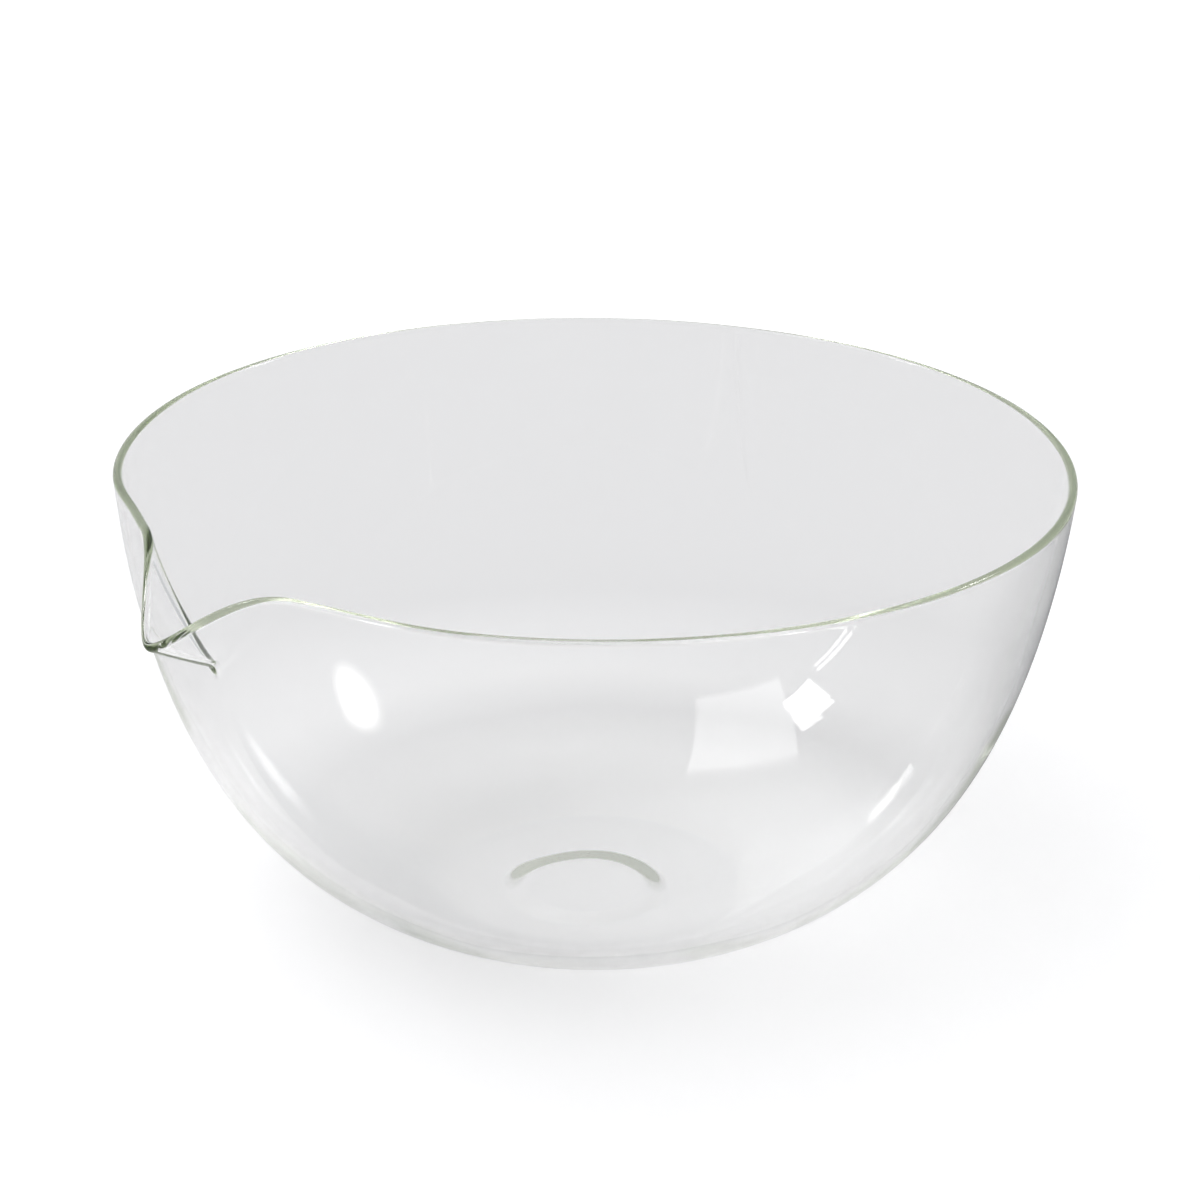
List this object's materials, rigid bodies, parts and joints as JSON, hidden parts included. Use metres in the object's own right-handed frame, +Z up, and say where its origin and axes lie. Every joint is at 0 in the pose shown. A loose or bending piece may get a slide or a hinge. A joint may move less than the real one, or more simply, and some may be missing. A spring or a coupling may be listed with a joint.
{
  "type": "mixing bowl",
  "caption": "Clear glass mixing bowl with a rounded wall and heel, a small flat base with a shallow punt and a pinched V-shaped pouring lip.",
  "frame": {"origin": "on the bowl's axis, at the level of the surface it stands on", "axes": "+Z up along the bowl's axis; -Y towards the viewer; the pouring lip points 220 degrees round from +X towards +Y, so front left"},
  "size_m": [0.23, 0.2297, 0.114],
  "materials": {
    "clear_glass": "clear, fire-polished, faintly green in the edge"
  },
  "bodies": {
    "root": {"glass_bowl": "clear_glass"}
  },
  "joints": []
}
